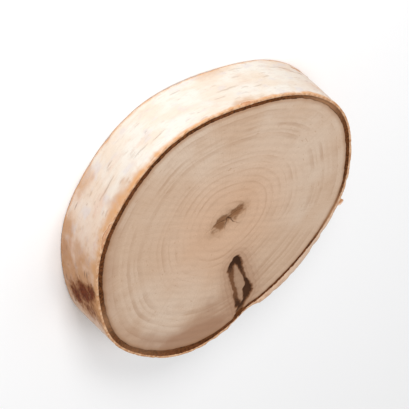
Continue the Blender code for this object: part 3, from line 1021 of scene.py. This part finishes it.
def outer_bark_material():
    """Papery birch bark: lenticels, torn patches that bare warmer layers, stain marks, painted shade
    low on one side and inside the torn edges, a tan sawn rim.
    """
    n = Nodes("papery_bark", 0.65, 0.06)
    # Warmth: the bark's tan, partly painted shade on the side turned from the key light
    warmth = n.mark("warmth")
    base, streaks = bark_colour(n, n.place, warmth)
    ragged = n.noise(n.stretched(n.place, (1.0, 1.0, 3.0)), 1.0 * MM, 4.0, 0.6)
    # Ochre and brown spots, partly painted shade at 336 to 337 degrees
    base = n.mix(n.times(n.mark("ochre"), 0.85), base, colour(190, 131, 76))
    patchy = n.between(n.noise(n.place, 2.5 * MM, 3.0), 0.30, 0.62)
    fringe = n.times(n.mark("fringe"), n.plus(n.times(patchy, 0.55), 0.42))
    base = n.mix(fringe, base, colour(213, 160, 112))

    torn = n.plus(n.mark("torn"), n.swing(ragged, 0.22))
    layer = n.mix(n.between(streaks, 0.35, 0.7), colour(218, 172, 136), colour(190, 134, 98))
    lifted = n.times(n.between(torn, 0.04, 0.13), 0.5)
    base = n.mix(lifted, base, colour(236, 218, 196))
    base = n.mix(n.between(torn, 0.13, 0.16), base, layer)
    # Painted shade in a narrow band just inside each torn edge
    painted_tear_shade = n.times(n.between(torn, 0.13, 0.16), n.without(n.between(torn, 0.16, 0.34)))
    base = n.mix(n.times(painted_tear_shade, 0.45), base, colour(150, 100, 66))

    dash = n.times(n.mark("lenticel"), n.plus(n.times(warmth, 0.40), 0.20))
    base = n.mix(dash, base, colour(168, 128, 100))
    slit = n.times(n.mark("slit"), n.plus(n.times(warmth, 0.45), 0.25))
    base = n.mix(slit, base, colour(104, 72, 52))
    # Stain marks: the branch scar and its marks are real, and the brown from 332 to 346 degrees is
    # partly real and partly painted shade
    stain = n.plus(n.mark("stain"), n.swing(streaks, 0.55))
    stain = n.plus(stain, n.swing(ragged, 0.5))
    base = n.mix(n.between(stain, -0.30, 0.35, 0.85), base, colour(150, 96, 56))
    dark = n.mix(n.between(ragged, 0.3, 0.7), colour(130, 60, 24), colour(86, 38, 12))
    base = n.mix(n.between(stain, 0.02, 0.66), base, dark)
    tone = n.between(n.noise(n.place, 0.9 * MM, 3.0), 0.3, 0.7)
    sawn = n.mix(tone, colour(214, 176, 142), colour(174, 122, 84))
    sawn = n.mix(n.times(n.mark("pale_rim"), 0.75), sawn, colour(204, 182, 164))
    base = n.mix(n.times(n.mark("rim"), 0.9), base, sawn)
    fine = n.noise(n.stretched(n.place, (1.0, 1.0, 4.0)), 0.6 * MM, 3.0, 0.6)
    return n.finish(base, [(streaks, 0.35, 0.15 * MM), (fine, 0.25, 0.06 * MM)])


def curl_outside_material():
    """The pale outer side of a curl."""
    n = Nodes("curl_outside", 0.65)
    base, streaks = bark_colour(n, n.place, 0.8)
    return n.finish(base, [(streaks, 0.35, 0.12 * MM)])


def curl_inside_material():
    """The warm tan inner side of a curl, with its short dark dashes."""
    n = Nodes("curl_inside", 0.65)
    dashes = n.noise(n.stretched(n.place, (1.0, 1.0, 6.0)), 2.0 * MM, 3.0, 0.6)
    base = n.mix(n.between(dashes, 0.3, 0.6), colour(210, 168, 130), colour(184, 134, 96))
    base = n.mix(n.between(dashes, 0.62, 0.72, 0.6), base, colour(142, 92, 60))
    return n.finish(base, [(dashes, 0.3, 0.10 * MM)])


# Stage, light and camera

CAMERA_ELEVATION = 32.1
CAMERA_ROLL = 133.4
LENS = 450.0
SENSOR = 36.0
PICTURE_SHARE = 0.80
# Soft lights: name, azimuth from +X towards +Y, elevation, distance, size and watts
LIGHTS = (
    ("key", 250.0, 30.0, 0.55, 0.16, 1.55),
    ("overhead", 235.0, 75.0, 0.8, 0.5, 2.3),
)
WORLD_STRENGTH = 0.5


def make_floor():
    """A wide pale floor that the slice lies on."""
    bpy.ops.mesh.primitive_plane_add(size=4.0, location=(0.0, 0.0, 0.0))
    floor = bpy.context.object
    floor.name = "floor"
    n = Nodes("floor_white", 0.9)
    tone = n.mix(n.noise(n.place, 0.2, 2.0), (0.93, 0.93, 0.94, 1.0), (0.95, 0.95, 0.95, 1.0))
    floor.data.materials.append(n.finish(tone, []))


def area_light(name, azimuth, elevation, distance, size, watts):
    """A square soft light that looks at the slice."""
    light = bpy.data.lights.new(name, "AREA")
    light.shape = "SQUARE"
    light.size = size
    light.energy = watts
    lamp = bpy.data.objects.new(name, light)
    a, e = math.radians(azimuth), math.radians(elevation)
    way = Vector((math.cos(a) * math.cos(e), math.sin(a) * math.cos(e), math.sin(e)))
    lamp.location = way * distance
    lamp.rotation_euler = way.to_track_quat("Z", "Y").to_euler()
    bpy.context.scene.collection.objects.link(lamp)


def make_lights():
    for light in LIGHTS:
        area_light(*light)
    world = bpy.data.worlds.new("studio")
    world.use_nodes = True
    world.node_tree.nodes["Background"].inputs["Color"].default_value = (1.0, 1.0, 1.0, 1.0)
    world.node_tree.nodes["Background"].inputs["Strength"].default_value = WORLD_STRENGTH
    bpy.context.scene.world = world
    bpy.context.scene.view_settings.view_transform = "Standard"


def make_camera():
    """Looks at the slice from the photograph's side, rolled as the slice leans there."""
    low, high = CAD_BOX
    target = (low + high) / 2
    elevation, roll = math.radians(CAMERA_ELEVATION), math.radians(CAMERA_ROLL)
    back = Vector((0.0, -math.cos(elevation), math.sin(elevation)))
    level_right = Vector((1.0, 0.0, 0.0))
    level_up = back.cross(level_right)
    right = level_right * math.cos(roll) + level_up * math.sin(roll)
    up = level_up * math.cos(roll) - level_right * math.sin(roll)
    data = bpy.data.cameras.new("camera")
    data.lens = LENS
    data.sensor_width = SENSOR
    data.clip_start = 0.01
    data.clip_end = 20.0
    camera = bpy.data.objects.new("camera", data)
    distance = (high.x - low.x) / PICTURE_SHARE * LENS / SENSOR
    turn = Matrix((right, up, back)).transposed().to_4x4()
    camera.matrix_world = Matrix.Translation(target + back * distance) @ turn
    bpy.context.scene.collection.objects.link(camera)
    bpy.context.scene.camera = camera


wood = make_wood(wood_material())
inner_bark = make_inner_bark(inner_bark_material())
outer_bark = make_outer_bark(outer_bark_material())
curls = make_curls(curl_outside_material(), curl_inside_material())
for piece, slot in ((wood, "wood"), (inner_bark, "bark"), (outer_bark, "bark"), (curls, "bark")):
    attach(piece, "root")
    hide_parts("wood_slice")
make_floor()
make_lights()
make_camera()
